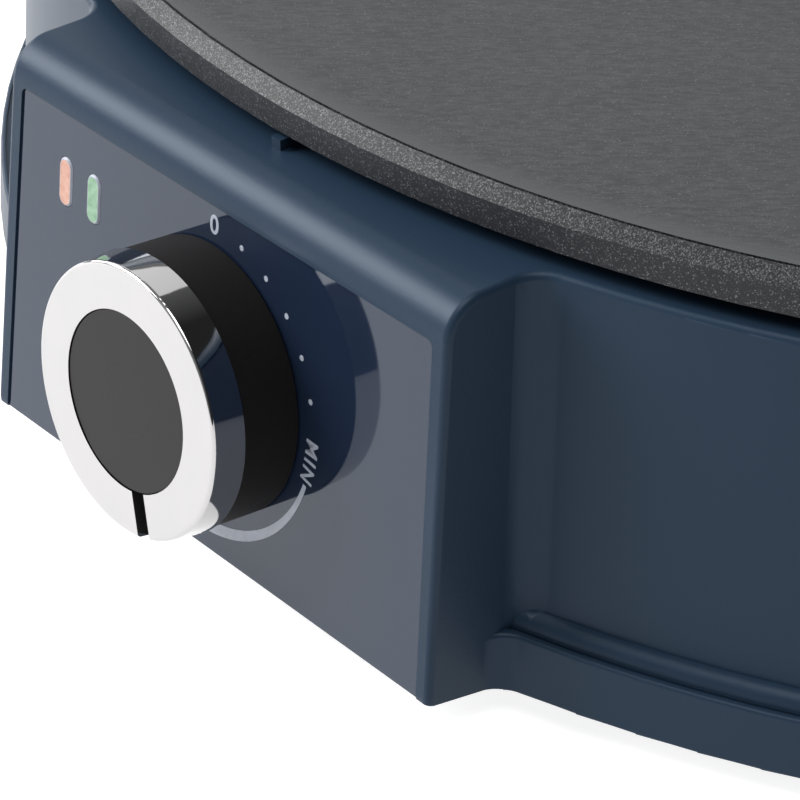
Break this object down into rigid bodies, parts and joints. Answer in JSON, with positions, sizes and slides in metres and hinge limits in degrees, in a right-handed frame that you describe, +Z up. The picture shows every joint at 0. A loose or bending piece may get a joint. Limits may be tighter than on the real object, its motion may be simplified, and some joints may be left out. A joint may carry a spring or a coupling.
{
  "type": "electric crepe maker",
  "caption": "Round countertop crepe maker: flat non-stick plate on a drum base with a stepped foot skirt, and a front control box with a thermostat knob and lamp windows.",
  "frame": {"origin": "the plate's axis at the plane of the four feet's undersides", "axes": "+Z up through the cooking plate, -Y towards the control box and the cook, +Y towards the cord gland at the back"},
  "size_m": [0.3676, 0.3866, 0.0734],
  "materials": {
    "base_plastic": "satin, dark navy",
    "plate_coating": "dark grey non-stick coating over cast aluminium",
    "panel_film": "glossy, grey blue",
    "knob_black": "matte black",
    "knob_chrome": "bright",
    "knob_disc": "satin dark grey",
    "lens_orange": "clear tinted",
    "lens_green": "clear tinted",
    "bright_steel": "zinc plated",
    "sheet_steel": "black paint",
    "reflector_steel": "aluminised, bright",
    "element_sheath": "dark oxidised sheath",
    "ceramic": "off-white ceramic",
    "copper": "bare copper",
    "brass": "bright",
    "thermostat_case": "brown moulding",
    "holder_plastic": "natural white",
    "lamp_glass": "clear",
    "foot_rubber": "matte black",
    "gland_plastic": "satin black"
  },
  "bodies": {
    "base": {"base_housing": "base_plastic", "bottom_cover": "sheet_steel", "cover_screws": "bright_steel", "foot_back_right": "foot_rubber", "foot_back_left": "foot_rubber", "foot_front_left": "foot_rubber", "foot_front_right": "foot_rubber", "cooking_plate": "plate_coating", "heating_element": "element_sheath", "element_bushes": "ceramic", "reflector": "reflector_steel", "lower_spacers": "bright_steel", "upper_spacers": "bright_steel", "plate_studs": "bright_steel", "plate_washers": "bright_steel", "plate_nuts": "bright_steel", "sensor_bulb": "copper", "bulb_clip": "bright_steel", "capillary_tube": "copper", "safety_cutout": "ceramic", "underside_screws": "bright_steel", "front_overlay": "panel_film", "power_lens": "lens_orange", "ready_lens": "lens_green", "lamp_holder": "holder_plastic", "power_lamp": "lamp_glass", "ready_lamp": "lamp_glass", "thermostat_bracket": "bright_steel", "bracket_screws": "bright_steel", "thermostat_body": "thermostat_case", "thermostat_terminals": "brass", "terminal_block": "ceramic", "block_screw": "bright_steel", "cord_gland": "gland_plastic", "gland_nut": "gland_plastic"},
    "knob": {"thermostat_shaft": "bright_steel", "knob_body": "knob_black", "knob_ring": "knob_chrome", "knob_cap": "knob_disc"}
  },
  "joints": [
    {"name": "knob_turn", "type": "hinge", "parent": "base", "child": "knob", "pos_m": [0, -0.18689, 0.03329], "axis": [0, 0.9963, -0.0854], "range_deg": [-164, 124]}
  ]
}
